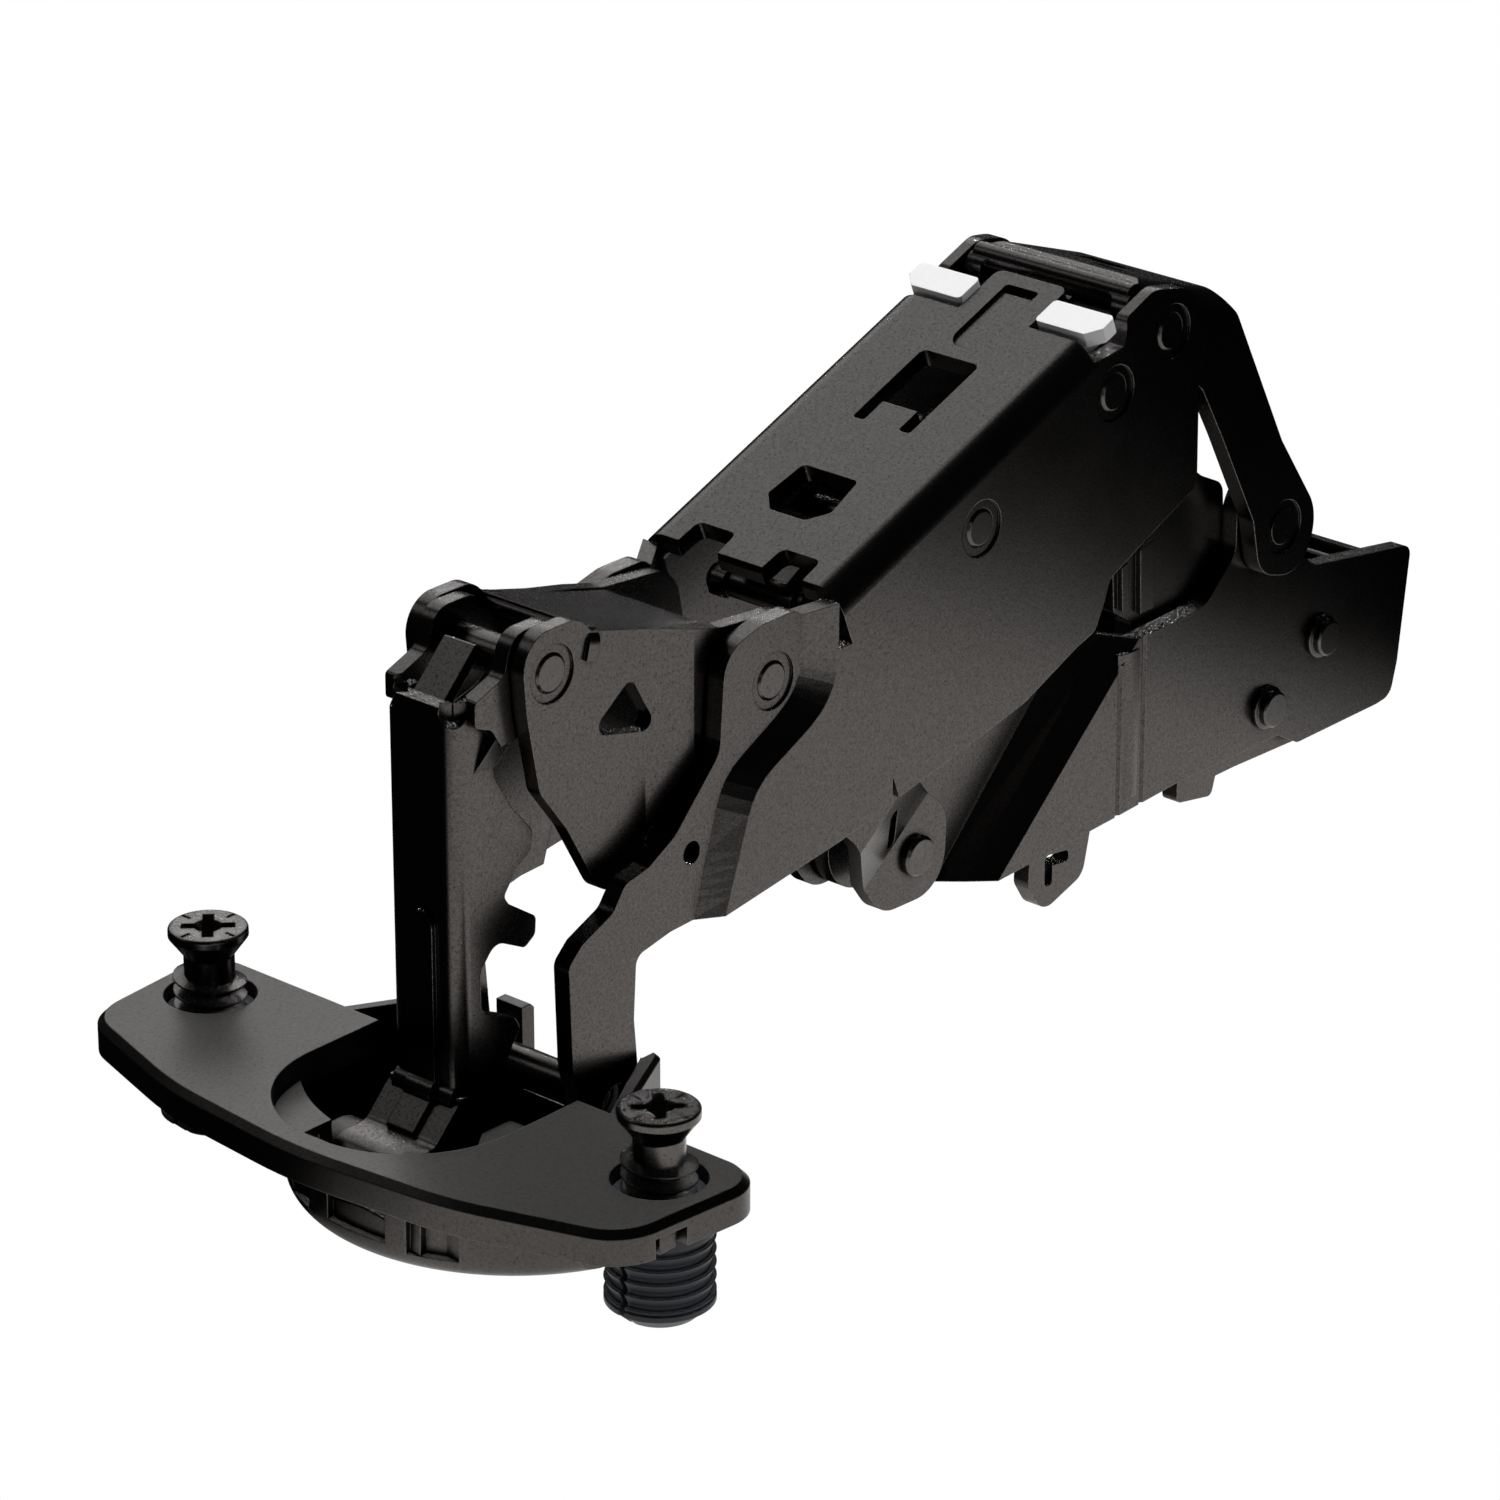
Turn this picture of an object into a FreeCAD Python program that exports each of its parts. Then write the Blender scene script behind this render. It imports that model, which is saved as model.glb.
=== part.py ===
import FreeCAD, Part
import math
import os

V = FreeCAD.Vector

# Driving dimensions, in millimetres.
# Side outlines are (x, z) points measured from the screw line on the flange's
# top face; finish() moves every piece to the shared frame at the end.
CUP_D = 34.8
REAR_X = 15.1
REAR_HALF = 9.0
REAR_TOP = -0.2
SCREW_BACK = 9.5
SCREW_HALF = 22.5
FLANGE_T = 2.6
FLANGE_HOLE_R = 3.5
CUP_FLOOR = -11.0
CUP_WALL = 1.3
CUP_ROUND = 1.9
FLOOR_T = 1.1
OPENING_HALF = 10.0
DOWEL_R = 4.0
DOWEL_SEAT = 0.6
DOWEL_LEN = 7.8
DOWEL_FLOOR = -FLANGE_T - 3.2
SCREW_HEAD_R = 3.0
SCREW_UP = 5.55

SHEET = 1.5
THIN = 1.3
PIN_R = 1.5
CUP_PIN_R = 1.5
RING_R = 2.25
RING_DEEP = 0.2
RUN = 0.05
SEAT = 0.02
LEVEL_GAP = 0.15

# Half widths of the nested sheet pieces, outer face of each.
LONG_OUT = 9.7
EAR_OUT = LONG_OUT - SHEET
REAR_PIN_HALF = EAR_OUT - SHEET - 0.4
LINK_OUT = EAR_OUT - 0.25
BASE_OUT = LINK_OUT - SHEET - LEVEL_GAP
CROSS_MID = EAR_OUT - SHEET - 0.2
CROSS_FRONT = 5.8
CROSS_REAR = 4.25
FRONT_OUT = 3.5
FRONT_EAR = CROSS_FRONT - THIN - 0.1
NOSE_OUT = CROSS_REAR - SHEET - LEVEL_GAP
INNER_OUT = BASE_OUT - SHEET - 0.02

# Pivot axes (x, z).
P1 = (-4.0, -5.9)
P2 = (11.2, -3.2)
P3 = (7.4, 31.2)
P4 = (28.2, 24.8)
P6 = (50.0, 30.7)
P7 = (65.7, 37.1)
P8 = (72.5, 40.2)
P9 = (90.0, 18.7)
P10 = (49.2, 2.7)
RIVET_A = (97.6, 6.6)
RIVET_B = (90.6, 2.5)
MID_HOLE = (19.3, 14.1)

WEB_FRONT = (32.9, 30.1)
WEB_SLOPE = 21.2


# Outlines and plates

def outline(points, plane="xz", level=0.0):
    """Closed wire through points (a, b) or (a, b, corner radius)."""
    def at(a, b):
        if plane == "xz":
            return V(a, level, b)
        if plane == "yz":
            return V(level, a, b)
        return V(a, b, level)
    n = len(points)
    edges = []
    last = None
    first = None
    for i in range(n):
        p = points[i]
        a = V(points[i - 1][0], points[i - 1][1], 0)
        b = V(p[0], p[1], 0)
        c = V(points[(i + 1) % n][0], points[(i + 1) % n][1], 0)
        r = p[2] if len(p) > 2 else 0
        u = (a - b).normalize()
        w = (c - b).normalize()
        turn = u.getAngle(w)
        if r > 0 and 0.02 < turn < math.pi - 0.02:
            reach = r / math.tan(turn / 2)
            reach = min(reach, 0.49 * a.distanceToPoint(b), 0.49 * c.distanceToPoint(b))
            r = reach * math.tan(turn / 2)
            s = b + u * reach
            e = b + w * reach
            mid_dir = (u + w).normalize()
            m = b + mid_dir * (r / math.sin(turn / 2) - r)
            start, end = at(s.x, s.y), at(e.x, e.y)
            if last is not None:
                edges.append(Part.LineSegment(last, start).toShape())
            edges.append(Part.Arc(start, at(m.x, m.y), end).toShape())
            first = first or start
            last = end
        else:
            here = at(b.x, b.y)
            if last is not None:
                edges.append(Part.LineSegment(last, here).toShape())
            first = first or here
            last = here
    if last.distanceToPoint(first) > 1e-6:
        edges.append(Part.LineSegment(last, first).toShape())
    return Part.Wire(edges)


def plate(points, y_in, y_out):
    """Flat sheet with a side outline, between two distances from the middle."""
    face = Part.Face(outline(points, "xz", y_in))
    return face.extrude(V(0, y_out - y_in, 0))


def slab(points, z_low, z_high):
    """Flat sheet with a plan outline."""
    face = Part.Face(outline(points, "xy", z_low))
    return face.extrude(V(0, 0, z_high - z_low))


def rod(p, r, y_in, y_out):
    return Part.makeCylinder(r, y_out - y_in, V(p[0], y_in, p[1]), V(0, 1, 0))


def box(x0, x1, y0, y1, z0, z1):
    return Part.makeBox(x1 - x0, y1 - y0, z1 - z0, V(x0, y0, z0))


def mirrored(shape):
    return shape.mirror(V(0, 0, 0), V(0, 1, 0))


def both(shape):
    return shape.fuse(mirrored(shape))


def lobe(p, r):
    """Four corner points that round to a circle of radius r about p."""
    return p[0] - r, p[0] + r, p[1] - r, p[1] + r


def step_band(line_a, y_a, line_b, y_b, t):
    """Sloping strip that joins two plate levels along matching lines."""
    parts = []
    for i in range(len(line_a) - 1):
        a0, a1 = line_a[i], line_a[i + 1]
        b0, b1 = line_b[i], line_b[i + 1]
        top = [V(a0[0], y_a, a0[1]), V(a1[0], y_a, a1[1]),
               V(b1[0], y_b, b1[1]), V(b0[0], y_b, b0[1])]
        low = [p - V(0, t, 0) for p in top]
        faces = [tri(top[0], top[1], top[2]), tri(top[0], top[2], top[3])]
        faces += [tri(low[0], low[1], low[2]), tri(low[0], low[2], low[3])]
        for k in range(4):
            m = (k + 1) % 4
            faces.append(Part.Face(Part.makePolygon([top[k], top[m], low[m], low[k], top[k]])))
        solid = Part.Solid(Part.Shell(faces))
        if solid.Volume < 0:
            solid.reverse()
        parts.append(solid)
    return parts[0].fuse(parts[1:]) if len(parts) > 1 else parts[0]


def tri(a, b, c):
    return Part.Face(Part.makePolygon([a, b, c, a]))


def channel(half, t, bend, length, depth, start, slope):
    """Long inverted trough: flat top, bent edges, two legs."""
    outer = [(-half, -depth), (-half, 0, bend), (half, 0, bend), (half, -depth)]
    i = half - t
    inner = [(-i, -depth - 1), (-i, -t, bend - t + 0.3), (i, -t, bend - t + 0.3), (i, -depth - 1)]
    body = Part.Face(outline(outer, "yz")).extrude(V(length, 0, 0))
    core = Part.Face(outline(inner, "yz", -1)).extrude(V(length + 2, 0, 0))
    body = body.cut(core)
    body.rotate(V(0, 0, 0), V(0, 1, 0), -slope)
    body.translate(V(start[0], 0, start[1]))
    return body


def on_web(shape):
    """From flat web coordinates (along, across, up) onto the sloping web."""
    shape.rotate(V(0, 0, 0), V(0, 1, 0), -WEB_SLOPE)
    shape.translate(V(WEB_FRONT[0], 0, WEB_FRONT[1]))
    return shape


def ring_mark(p, y_face):
    """Shallow coined ring around a pin head, cut into both outer faces."""
    ring = rod(p, RING_R, y_face - RING_DEEP, y_face + 1)
    return both(ring)


def through(p, r):
    return rod(p, r, -20, 20)


def clean(shape):
    shape = shape.removeSplitter()
    return shape


def finish(shape, name):
    shape = clean(shape)
    shape.translate(V(-SCREW_BACK, 0, FLANGE_T))
    solids = shape.Solids
    if len(solids) == 1:
        shape = solids[0]
    else:
        shape = Part.makeCompound(solids)
    shape.exportStep("parts/" + name + ".step")
    box_ = shape.BoundBox
    print("%-26s solids %d valid %s vol %8.1f  x %.1f %.1f y %.1f %.1f z %.1f %.1f" % (
        name, len(solids), shape.isValid(), shape.Volume,
        box_.XMin, box_.XMax, box_.YMin, box_.YMax, box_.ZMin, box_.ZMax))
    return shape


# Cup: one casting of flange plate and round bowl

def flange_plate():
    rear = 5.6
    end = SCREW_HALF + 5.7
    front = end - 1.2
    pts = [(-8.4, -front, 4.5), (-12.6, -14.0, 30), (-14.0, 0.0, 40), (-12.6, 14.0, 30),
           (-8.4, front, 4.5), (rear, end, 3.4), (rear, 10.3, 0.8), (rear, -10.3, 0.8), (rear, -end, 3.4)]
    body = slab(pts, -FLANGE_T, 0)
    top = [e for e in body.Edges if abs(e.BoundBox.ZMin) < 1e-4 and abs(e.BoundBox.ZMax) < 1e-4]
    try:
        body = body.makeChamfer(0.55, top)
    except Exception as err:
        print("flange chamfer left out:", err)
    return body


def opening_tool(z_low, z_high):
    """Mouth of the bowl: straight sides, rounded front, open to the rear."""
    h = OPENING_HALF
    pts = [(30, -h), (-11.6, -h, 9.6), (-11.6, h, 9.6), (30, h)]
    return slab(pts, z_low, z_high)


def bowl_form(inset, floor, round_):
    """Round front with a rounded lower rim, straight tapered rear."""
    r = CUP_D / 2 - inset
    half = outline([(0, floor), (r, floor, round_), (r, 6), (0, 6)], "xz")
    disc = Part.Face(half).revolve(V(0, 0, 0), V(0, 0, 1), 360)
    disc.translate(V(SCREW_BACK, 0, 0))
    i = inset
    taper = [(-20, -14.6 + i), (4.6, -14.6 + i), (9.4, -11.9 + i), (REAR_X - i, -REAR_HALF + 0.6 * i, 1.0),
             (REAR_X - i, REAR_HALF - 0.6 * i, 1.0), (9.4, 11.9 - i), (4.6, 14.6 - i), (-20, 14.6 - i)]
    return disc.common(slab(taper, CUP_FLOOR - 1, 10))


def bowl_block():
    """The bowl as a full block."""
    outer = bowl_form(0, CUP_FLOOR, CUP_ROUND).common(box(-40, 40, -20, 20, CUP_FLOOR, REAR_TOP))
    top = [e for e in outer.Edges
           if abs(e.BoundBox.ZMin - REAR_TOP) < 1e-4 and abs(e.BoundBox.ZMax - REAR_TOP) < 1e-4]
    return outer.makeChamfer(0.35, top)


def bowl_room():
    """The hollow inside the bowl."""
    room = bowl_form(CUP_WALL, CUP_FLOOR + FLOOR_T, CUP_ROUND - 0.7)
    return room.common(box(-40, 40, -20, 20, CUP_FLOOR, 5))


def bowl():
    shell = bowl_block().cut(bowl_room())
    # Moulded pockets in the front, seen under the flange.
    pocket = plate([(-12, -9.4, 0.8), (-12, -4.0, 0.8), (-5.6, -4.0), (-5.6, -9.4)], 4.6, 8.4)
    shell = shell.cut(both(pocket.common(ring_shell(0.75))))
    middle = plate([(-12, -9.0), (-12, -4.4), (-5.6, -4.4), (-5.6, -9.0)], -2.9, 2.9)
    return shell.cut(middle.common(ring_shell(0.6)))


def ring_shell(deep):
    """Thin outer layer of the round wall, for shallow pockets."""
    r = CUP_D / 2
    tube = Part.makeCylinder(r + 1, 20, V(SCREW_BACK, 0, CUP_FLOOR - 1))
    return tube.cut(Part.makeCylinder(r - deep, 20, V(SCREW_BACK, 0, CUP_FLOOR - 1)))


def lever_ways():
    """Slots in the rear rim where the levers lie at full opening."""
    middle = plate([(REAR_X - 3, 3), (REAR_X - 3, -6.9, 1), (REAR_X + 3, -6.9, 1), (REAR_X + 3, 3)],
                   -3.8, 3.8)
    tongue = plate([(REAR_X - 1.6, 3), (REAR_X - 1.6, -7.2, 1), (REAR_X + 3, -7.2, 1), (REAR_X + 3, 3)],
                   EAR_OUT - SHEET - 0.3, EAR_OUT + 0.3)
    return middle.fuse(both(tongue))


def pin_cheeks():
    """Upright cheeks on the bowl's floor that hold the two cup pins."""
    x0, x1, z0, z1 = lobe(P1, 2.6)
    front = plate([(x0 - 0.3, CUP_FLOOR + 0.6), (x0, z1, 2.6), (x1, z1, 2.6), (x1 + 1.5, CUP_FLOOR + 0.6)],
                  FRONT_OUT + 0.25, 5.6)
    x0, x1, z0, z1 = lobe(P2, 2.2)
    rear = plate([(x0 - 1.2, CUP_FLOOR + 0.6), (x0, z1, 2.1), (x1, z1, 2.1), (x1 + 1.2, CUP_FLOOR + 0.6)],
                 5.2, EAR_OUT - SHEET - 0.35)
    return both(front).fuse(both(rear))


def hinge_cup():
    body = flange_plate().fuse(bowl())
    mouth = opening_tool(-FLANGE_T + 0.7, 3).common(box(-20, 5.9, -20, 20, -20, 20))
    inside = bowl_room()
    deep = opening_tool(CUP_FLOOR + 1.1, 3).common(inside)
    rear = inside.common(box(5.8, 40, -20, 20, -20, 20))
    body = body.cut(mouth).cut(deep).cut(rear)
    body = body.fuse(pin_cheeks().common(bowl_block()))
    swing = rod(P1, 3.5, -FRONT_OUT - 0.25, FRONT_OUT + 0.25)
    body = body.cut(swing.common(box(-20, 20, -20, 20, CUP_FLOOR + 1.1, 5)))
    # Window in the front wall through which the front lever's foot swings.
    window = plate([(-8.9, 2), (-8.9, -6.6, 1), (-4.0, -6.6), (-4.0, 2)], -FRONT_OUT - 0.25, FRONT_OUT + 0.25)
    body = body.cut(window)
    body = body.cut(lever_ways())
    body = body.cut(rod(P1, CUP_PIN_R + SEAT, -6, 6))
    body = body.cut(rod(P2, CUP_PIN_R + SEAT, -REAR_PIN_HALF - 0.1, REAR_PIN_HALF + 0.1))
    for side in (-1, 1):
        y = side * SCREW_HALF
        body = body.cut(Part.makeCylinder(FLANGE_HOLE_R, 10, V(0, y, -5)))
        body = body.cut(Part.makeCylinder(DOWEL_R + 0.1, DOWEL_SEAT, V(0, y, -FLANGE_T)))
        # Small key tab in the end of the rim.
        key = box(-5.6, -2.6, SCREW_HALF + 3.9, 30, -FLANGE_T - 1, -1.1)
        tooth = box(-4.9, -3.3, SCREW_HALF + 3.7, SCREW_HALF + 4.5, -FLANGE_T, -1.0)
        if side < 0:
            key, tooth = mirrored(key), mirrored(tooth)
        body = body.cut(key).fuse(tooth)
    return body


def cup_pin(p, half):
    body = rod(p, CUP_PIN_R, -half, half)
    return body.makeChamfer(0.25, [e for e in body.Edges if e.Closed])


# Dowels and screws at the two ends of the flange

def dowel(side):
    y = side * SCREW_HALF
    seat = -FLANGE_T + DOWEL_SEAT
    low = -FLANGE_T - DOWEL_LEN
    core = Part.makeCylinder(DOWEL_R - 0.35, seat - low, V(0, y, low))
    # Plain collar under the flange, with a snug seat and a neck up into the screw hole.
    core = core.fuse(Part.makeCylinder(DOWEL_R, 1.3, V(0, y, -FLANGE_T - 1.3)))
    core = core.fuse(Part.makeCone(DOWEL_R, DOWEL_R + 0.06, DOWEL_SEAT, V(0, y, -FLANGE_T)))
    core = core.fuse(Part.makeCylinder(FLANGE_HOLE_R - 0.05, 0.8, V(0, y, seat)))
    pitch = (DOWEL_LEN - 2.5) / 5
    for i in range(5):
        z = -FLANGE_T - 1.5 - (i + 1) * pitch
        barb = Part.makeCone(DOWEL_R - 0.35, DOWEL_R, pitch * 0.7, V(0, y, z))
        core = core.fuse(barb)
    # Tapered tip with a plain ring that guides the dowel into its hole.
    tip = Part.makeCone(DOWEL_R - 1.2, DOWEL_R - 0.1, 1.0, V(0, y, low))
    end = Part.makeCylinder(DOWEL_R + 1, 1.0, V(0, y, low))
    core = core.cut(end).fuse(tip)
    core = core.fuse(Part.makeCylinder(DOWEL_R, 0.4, V(0, y, low + 1.0)))
    # Blind hole for the screw. The slit leaves a web under it that joins the two halves.
    core = core.cut(Part.makeCylinder(2.1, 10, V(0, y, DOWEL_FLOOR)))
    slit = box(-6, 6, y - 0.25, y + 0.25, low - 1, -FLANGE_T - 1.3)
    slit = slit.cut(Part.makeCylinder(1.3, DOWEL_FLOOR - low + 1, V(0, y, low - 1)))
    return core.cut(slit)


def cross_recess(y, z):
    tool = None
    for k in range(2):
        arm = box(-2.0, 2.0, -0.42, 0.42, z - 1.5, z + 1)
        arm.rotate(V(0, 0, 0), V(0, 0, 1), 45 + 90 * k)
        tool = arm if tool is None else tool.fuse(arm)
    cone = Part.makeCone(0.6, 2.1, 1.9, V(0, 0, z - 1.9 + 0.05))
    tool = tool.common(cone.fuse(Part.makeCylinder(3, 1, V(0, 0, z + 0.04))))
    tool = tool.fuse(Part.makeCone(0.4, 1.1, 1.3, V(0, 0, z - 1.28)))
    for k in range(4):
        tick = box(1.9, 2.75, -0.12, 0.12, z - 0.15, z + 1)
        tick.rotate(V(0, 0, 0), V(0, 0, 1), 90 * k)
        tool = tool.fuse(tick)
    tool.translate(V(0, y, 0))
    return tool


def flange_screw(side):
    y = side * SCREW_HALF
    z = SCREW_UP
    rim = 0.7
    sink = 1.5
    neck_r = 1.9
    pts = [(0, z), (SCREW_HEAD_R, z, 0.25), (SCREW_HEAD_R, z - rim), (neck_r, z - rim - sink, 0.3),
           (neck_r, z - rim - sink - 1.9), (1.7, z - rim - sink - 2.3), (1.7, DOWEL_FLOOR + 1.4),
           (0.5, DOWEL_FLOOR + 0.1), (0, DOWEL_FLOOR + 0.1)]
    body = Part.Face(outline(pts, "xz")).revolve(V(0, 0, 0), V(0, 0, 1), 360)
    body.translate(V(0, y, 0))
    return body.cut(cross_recess(y, z))


# Front lever: narrow trough from the cup to the crossing lever

def front_lever():
    x = -0.3
    side = [(x, 30.0), (2.2, 30.0), (2.8, 28.1), (3.5, 27.2), (3.8, 23.7), (5.3, 21.1), (7.6, 18.4, 0.8),
            (7.4, 16.9, 0.8), (5.9, 16.0), (4.5, 14.2, 0.5), (5.0, 13.5), (7.8, 11.6, 0.6), (7.7, 10.2, 0.6),
            (6.6, 9.5, 0.5), (3.6, 11.0, 1.2), (2.0, 9.2, 1.2), (2.0, 5.9, 1.0), (5.5, 4.3), (6.0, 3.4, 0.5),
            (5.0, 2.0, 1), (2.4, -2.6, 2), (-1.0, -8.9, 2.6), (-6.9, -8.8, 2.85), (-6.9, -3.0, 2.85),
            (-3.0, -3.0, 1.2),
            (x, -0.3, 1.0)]
    block = plate(side, -FRONT_OUT, FRONT_OUT)
    hollow = plate([(x + THIN, 40), (12, 40), (12, -14), (-9, -14), (-9, -6.2), (-5.6, -6.2),
                    (-5.5, -4.3, 1.2), (-2.5, -4.3, 1.0),
                    (x + THIN, -0.9, 1.0)],
                   -(FRONT_OUT - THIN), FRONT_OUT - THIN)
    body = block.cut(hollow)
    # Bent edges of the trough.
    bar = Part.Face(outline([(x, -FRONT_OUT, THIN), (x, FRONT_OUT, THIN), (20, FRONT_OUT), (20, -FRONT_OUT)],
                            "xy", -0.2)).extrude(V(0, 0, 40))
    low = box(-12, 20, -FRONT_OUT, FRONT_OUT, -14, -0.2)
    body = body.common(bar.fuse(low))
    # Ears spread outwards to the crossing lever's front plates.
    x0, x1, z0, z1 = lobe(P3, 3.3)
    ear = plate([(1.0, 30.5, 0.4), (4.0, 31.6, 1.2), (4.8, z1, 2.4), (x1, z1, 3.3), (x1, z0, 3.3),
                 (5.6, 26.6, 1),
                 (3.6, 26.4), (2.6, 28.0, 1), (1.0, 28.6, 0.4)], FRONT_EAR - THIN, FRONT_EAR)
    neck_a = [(1.6, 24.6), (4.0, 24.6)]
    neck_b = [(3.4, 27.4), (5.6, 27.4)]
    neck = step_band(neck_a, FRONT_OUT, neck_b, FRONT_EAR, THIN)
    body = body.fuse(both(ear.fuse(neck)))
    # Round-topped bead pressed down the web and over the foot bend.
    bead = Part.Face(outline([(-1.3, -0.2), (-1.3, 13.9, 1.2), (1.3, 13.9, 1.2),
                              (1.3, -0.2)], "yz", x - 0.35))
    bead = bead.extrude(V(0.8, 0, 0))
    bend = rod((x, -0.3), 1.0, -1.3, 1.3)
    roll = rod((x + 0.5, -0.5), 1.05, -2.9, 2.9)
    foot = plate([(-0.65, -0.1), (0.2, -0.1), (-2.4, -3.4), (-3.2, -2.65, 0.3)], -1.3, 1.3)
    body = body.fuse([bead, bend, roll, foot])
    # Leaf bent back from the web's top edge, and round reliefs beside it.
    leaf = plate([(-0.1, 29.0), (0.1, 29.2), (4.2, 33.3, 0.3), (4.8, 32.7, 0.3), (0.9, 28.6)], -1.5, 1.5)
    body = body.fuse(leaf)
    relief = Part.makeCylinder(1.0, 3.0, V(x - 0.8, FRONT_OUT + 0.8, 29.5), V(1, -1, 0))
    relief = relief.fuse(Part.makeCylinder(1.0, 3.0, V(x - 0.8, FRONT_OUT + 0.8, 30.3), V(1, -1, 0)))
    body = body.cut(both(relief))
    body = body.cut(through(P1, CUP_PIN_R + RUN))
    body = body.cut(through(P3, PIN_R + RUN))
    return body


# Crossing lever: one bent sheet from the front pivot to the base's nose

def cross_strip(lines, keep, crease):
    """Sheet of varying level: profile across the crease, run along it."""
    ux, uz = -crease[1], crease[0]
    top = [V(u * ux, y, u * uz) for u, y in lines]
    low = [p - V(0, THIN, 0) for p in reversed(top)]
    loop = top + low + [top[0]]
    face = Part.Face(Part.makePolygon(loop))
    run = V(crease[0], 0, crease[1])
    face.translate(V(P10[0], 0, P10[1]) - run * 80)
    return face.extrude(run * 160).common(keep)


def crossing_lever():
    x0, x1, z0, z1 = lobe(P3, 3.4)
    edge = [(4.3, 34.6, 3.0), (10.2, 34.6, 2.6), (11.5, 33.2), (24.4, 29.7), (27.5, 29.4, 3.0),
            (32.4, 29.0, 3.6),
            (33.4, 24.0, 3.0), (38.8, 18.2, 3), (45.4, 11.8, 3), (53.0, 5.4, 3.2), (52.6, -1.2, 3.6),
            (45.2, -1.0, 3.2),
            (42.4, 2.9, 1), (39.6, 7.4, 2), (33.0, 13.6, 4), (24.0, 16.0, 3), (20.4, 14.4, 2),
            (17.6, 12.5, 3),
            (12.2, 12.6, 2.0), (8.7, 18.8, 1.5), (6.0, 22.4, 1.5), (4.8, 28.6, 2)]
    blank = plate(edge, 0, 12)
    left = blank.common(box(0, 24, 0, 12, -10, 50))
    right = blank.common(box(24, 80, 0, 12, -10, 50))
    # Level along x in the front half, counted back from the rear pivot.
    front = cross_strip([(60, CROSS_FRONT), (P10[0] - 17.0, CROSS_FRONT), (P10[0] - 21.5, CROSS_MID),
                         (10, CROSS_MID)],
                        left, (0.0, 1.0))
    rear = cross_strip([(-20, CROSS_REAR), (2.9, CROSS_REAR), (8.5, CROSS_MID), (70, CROSS_MID)],
                       right, (0.8, 0.6))
    body = both(front.fuse(rear))
    slope = math.degrees(math.atan2(29.7 - 33.2, 24.4 - 11.5))
    web = channel(CROSS_FRONT, THIN, 1.5, 13.2, 3.0, (11.3, 33.25), slope)
    body = body.fuse(web)
    hem = channel(CROSS_FRONT + 0.3, THIN + 0.3, 1.6, 1.1, 2.4, (11.3, 33.5), slope)
    lip = rod((11.6, 32.6), 0.75, -CROSS_FRONT + 0.4, CROSS_FRONT - 0.4)
    knob = rod((17.4, 15.4), 0.75, CROSS_FRONT - 0.3, CROSS_FRONT + 0.3)
    body = body.fuse([hem, lip, both(knob)])
    hole = plate([(15.6, 28.4, 0.8), (11.1, 25.2, 0.8), (18.4, 23.4, 0.8)], -12, 12)
    body = body.cut(hole)
    slot = plate([(44.2, 8.1, 0.5), (45.2, 8.4, 0.5), (46.6, 4.6, 0.5), (45.6, 4.2, 0.5)], -12, 12)
    body = body.cut(slot)
    body = body.cut(through(P3, PIN_R + SEAT))
    body = body.cut(through(P4, PIN_R + RUN))
    body = body.cut(through(P10, PIN_R + SEAT))
    body = body.cut(ring_mark(P3, CROSS_FRONT))
    return body


# Long lever: wide trough with two tongues that reach into the cup

LONG_SIDE = [(33.8, 31.5), (62.8, 41.9), (63.0, 40.2, 0.4), (66.6, 40.6, 0.4), (67.4, 42.6, 1),
             (70.9, 44.0, 2.5),
             (75.0, 43.2, 2.5), (76.0, 40.0, 2), (76.2, 26.6, 1.2), (70.7, 24.3, 1), (65.6, 22.0, 1),
             (65.0, 20.4, 0.6), (63.9, 18.2, 1.2), (61.6, 17.5, 1), (55.5, 14.9, 4), (49.5, 13.6, 6),
             (34.0, 10.5, 8), (21.3, 8.8)]
EDGE_MAIN = [(21.3, 8.8), (22.2, 11.3), (24.6, 18.0), (31.9, 21.4), (33.7, 23.9), (33.8, 31.5)]
EDGE_EAR = [(19.4, 8.7), (20.2, 11.5), (22.6, 18.9), (29.9, 22.6), (31.3, 24.8), (31.4, 29.0)]


def eased(line, reach):
    """The line with each inner corner turned into a short curve."""
    out = [line[0]]
    for i in range(1, len(line) - 1):
        corner = V(line[i][0], line[i][1], 0)
        before = V(line[i - 1][0], line[i - 1][1], 0) - corner
        after = V(line[i + 1][0], line[i + 1][1], 0) - corner
        a = corner + before * (min(reach, 0.45 * before.Length) / before.Length)
        b = corner + after * (min(reach, 0.45 * after.Length) / after.Length)
        for t in (0.0, 0.25, 0.5, 0.75, 1.0):
            p = a * (1 - t) ** 2 + corner * (2 * t * (1 - t)) + b * t ** 2
            out.append((p.x, p.y))
    return out + [line[-1]]


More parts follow.
